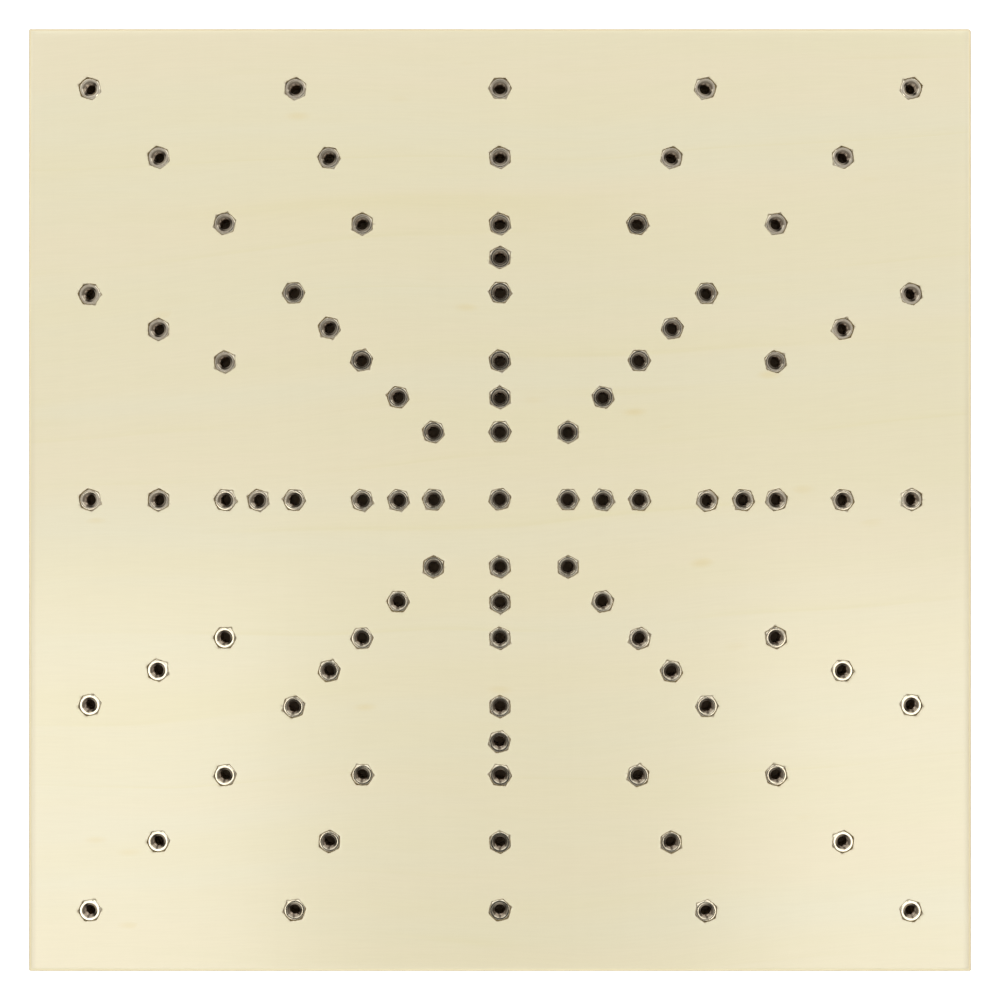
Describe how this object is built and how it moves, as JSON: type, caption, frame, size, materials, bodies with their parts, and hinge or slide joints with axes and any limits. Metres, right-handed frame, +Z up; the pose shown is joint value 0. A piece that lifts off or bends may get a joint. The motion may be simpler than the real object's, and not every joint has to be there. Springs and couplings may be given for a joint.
{
  "type": "peg blocking board",
  "caption": "Square wooden craft blocking board with flush hexagonal steel peg sockets set in nested squares and a round.",
  "frame": {"origin": "middle of the board's underside, where it lies on the table", "axes": "+Z up out of the working face, +X to the right and +Y away from the user; the board is the same in both directions"},
  "size_m": [0.35, 0.35, 0.018],
  "materials": {
    "wood": "pale creamy close-grained plywood face, fine sanded, unvarnished or clear matt, faint horizontal grain",
    "insert_steel": "nickel-plated steel, turned faces, bright satin with a warm cast"
  },
  "bodies": {
    "root": {"board": "wood", "insert_10in_E": "insert_steel", "insert_10in_ENE": "insert_steel", "insert_10in_ESE": "insert_steel", "insert_10in_N": "insert_steel", "insert_10in_NE": "insert_steel", "insert_10in_NNE": "insert_steel", "insert_10in_NNW": "insert_steel", "insert_10in_NW": "insert_steel", "insert_10in_S": "insert_steel", "insert_10in_SE": "insert_steel", "insert_10in_SSE": "insert_steel", "insert_10in_SSW": "insert_steel", "insert_10in_SW": "insert_steel", "insert_10in_W": "insert_steel", "insert_10in_WNW": "insert_steel", "insert_10in_WSW": "insert_steel", "insert_12in_E": "insert_steel", "insert_12in_ENE": "insert_steel", "insert_12in_ESE": "insert_steel", "insert_12in_N": "insert_steel", "insert_12in_NE": "insert_steel", "insert_12in_NNE": "insert_steel", "insert_12in_NNW": "insert_steel", "insert_12in_NW": "insert_steel", "insert_12in_S": "insert_steel", "insert_12in_SE": "insert_steel", "insert_12in_SSE": "insert_steel", "insert_12in_SSW": "insert_steel", "insert_12in_SW": "insert_steel", "insert_12in_W": "insert_steel", "insert_12in_WNW": "insert_steel", "insert_12in_WSW": "insert_steel", "insert_7in_E": "insert_steel", "insert_7in_N": "insert_steel", "insert_7in_NE": "insert_steel", "insert_7in_NW": "insert_steel", "insert_7in_S": "insert_steel", "insert_7in_SE": "insert_steel", "insert_7in_SW": "insert_steel", "insert_7in_W": "insert_steel", "insert_8in_E": "insert_steel", "insert_8in_ENE": "insert_steel", "insert_8in_ESE": "insert_steel", "insert_8in_N": "insert_steel", "insert_8in_NE": "insert_steel", "insert_8in_NNE": "insert_steel", "insert_8in_NNW": "insert_steel", "insert_8in_NW": "insert_steel", "insert_8in_S": "insert_steel", "insert_8in_SE": "insert_steel", "insert_8in_SSE": "insert_steel", "insert_8in_SSW": "insert_steel", "insert_8in_SW": "insert_steel", "insert_8in_W": "insert_steel", "insert_8in_WNW": "insert_steel", "insert_8in_WSW": "insert_steel", "insert_middle": "insert_steel"}
  },
  "joints": []
}
